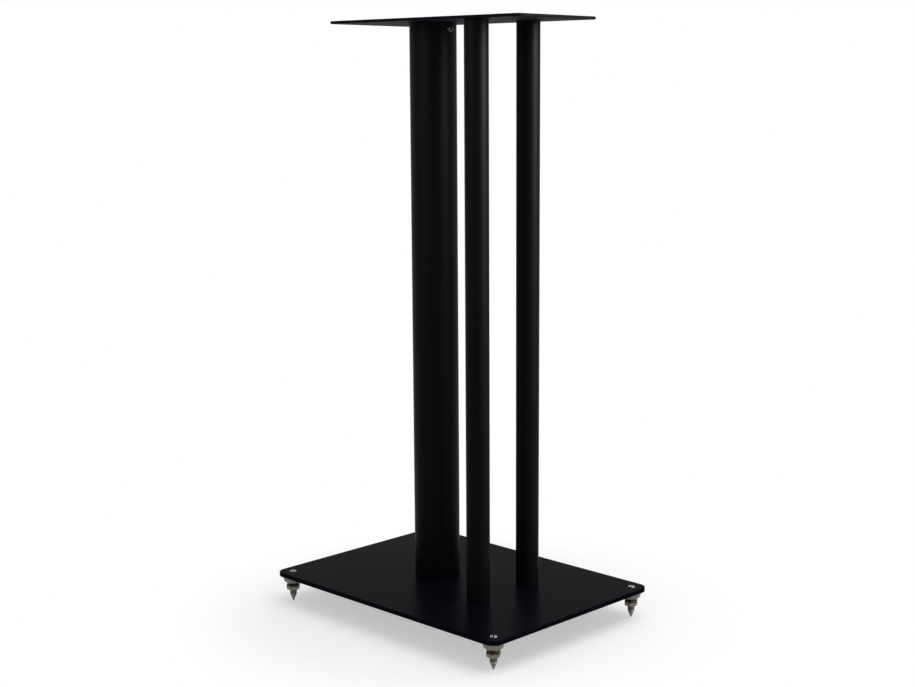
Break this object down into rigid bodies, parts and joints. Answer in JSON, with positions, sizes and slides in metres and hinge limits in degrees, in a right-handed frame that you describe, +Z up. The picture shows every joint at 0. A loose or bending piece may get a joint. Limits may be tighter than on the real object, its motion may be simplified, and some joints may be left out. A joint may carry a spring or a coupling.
{
  "type": "speaker stand",
  "caption": "Floor-standing speaker stand: flat base plate on levelling spikes, one thick front column, slim rear columns and a thin top plate for the speaker.",
  "frame": {"origin": "on the floor under the middle of the base plate, with the spike points at Z = 0", "axes": "+Z up; -Y is the front, where the thick column stands; +X is to the right seen from the front"},
  "size_m": [0.246, 0.341, 0.641],
  "materials": {
    "powder_coat": "satin black powder coat",
    "bright_steel": "turned steel",
    "black_oxide": "black oxide steel",
    "zinc_plate": "bright zinc plate",
    "nickel_plate": "satin nickel plate"
  },
  "bodies": {
    "stand": {"base_plate": "powder_coat", "top_plate": "powder_coat", "main_column": "powder_coat", "rear_column_left": "powder_coat", "rear_column_right": "powder_coat", "main_top_spigot": "bright_steel", "main_bottom_plug": "bright_steel", "rear_top_spigot_left": "bright_steel", "rear_bottom_plug_left": "bright_steel", "rear_top_spigot_right": "bright_steel", "rear_bottom_plug_right": "bright_steel", "top_screw_main": "black_oxide", "base_bolt_main": "black_oxide", "base_washer_main": "zinc_plate", "top_screw_left": "black_oxide", "base_bolt_left": "black_oxide", "base_washer_left": "zinc_plate", "top_screw_right": "black_oxide", "base_bolt_right": "black_oxide", "base_washer_right": "zinc_plate", "locking_screw": "black_oxide", "foot_boss_front_left": "nickel_plate", "foot_boss_front_right": "nickel_plate", "foot_boss_rear_left": "nickel_plate", "foot_boss_rear_right": "nickel_plate"},
    "spike_front_left": {"spike_front_left": "nickel_plate"},
    "lock_nut_front_left": {"lock_nut_front_left": "nickel_plate"},
    "spike_front_right": {"spike_front_right": "nickel_plate"},
    "lock_nut_front_right": {"lock_nut_front_right": "nickel_plate"},
    "spike_rear_left": {"spike_rear_left": "nickel_plate"},
    "lock_nut_rear_left": {"lock_nut_rear_left": "nickel_plate"},
    "spike_rear_right": {"spike_rear_right": "nickel_plate"},
    "lock_nut_rear_right": {"lock_nut_rear_right": "nickel_plate"}
  },
  "joints": [
    {"name": "spike_height_front_left", "type": "slide", "parent": "stand", "child": "spike_front_left", "axis": [0, 0, 1], "range_m": [-0.006, 0.003]},
    {"name": "lock_nut_back_off_front_left", "type": "slide", "parent": "stand", "child": "lock_nut_front_left", "axis": [0, 0, -1], "range_m": [0, 0.004]},
    {"name": "spike_height_front_right", "type": "slide", "parent": "stand", "child": "spike_front_right", "axis": [0, 0, 1], "range_m": [-0.006, 0.003]},
    {"name": "lock_nut_back_off_front_right", "type": "slide", "parent": "stand", "child": "lock_nut_front_right", "axis": [0, 0, -1], "range_m": [0, 0.004]},
    {"name": "spike_height_rear_left", "type": "slide", "parent": "stand", "child": "spike_rear_left", "axis": [0, 0, 1], "range_m": [-0.006, 0.003]},
    {"name": "lock_nut_back_off_rear_left", "type": "slide", "parent": "stand", "child": "lock_nut_rear_left", "axis": [0, 0, -1], "range_m": [0, 0.004]},
    {"name": "spike_height_rear_right", "type": "slide", "parent": "stand", "child": "spike_rear_right", "axis": [0, 0, 1], "range_m": [-0.006, 0.003]},
    {"name": "lock_nut_back_off_rear_right", "type": "slide", "parent": "stand", "child": "lock_nut_rear_right", "axis": [0, 0, -1], "range_m": [0, 0.004]}
  ]
}
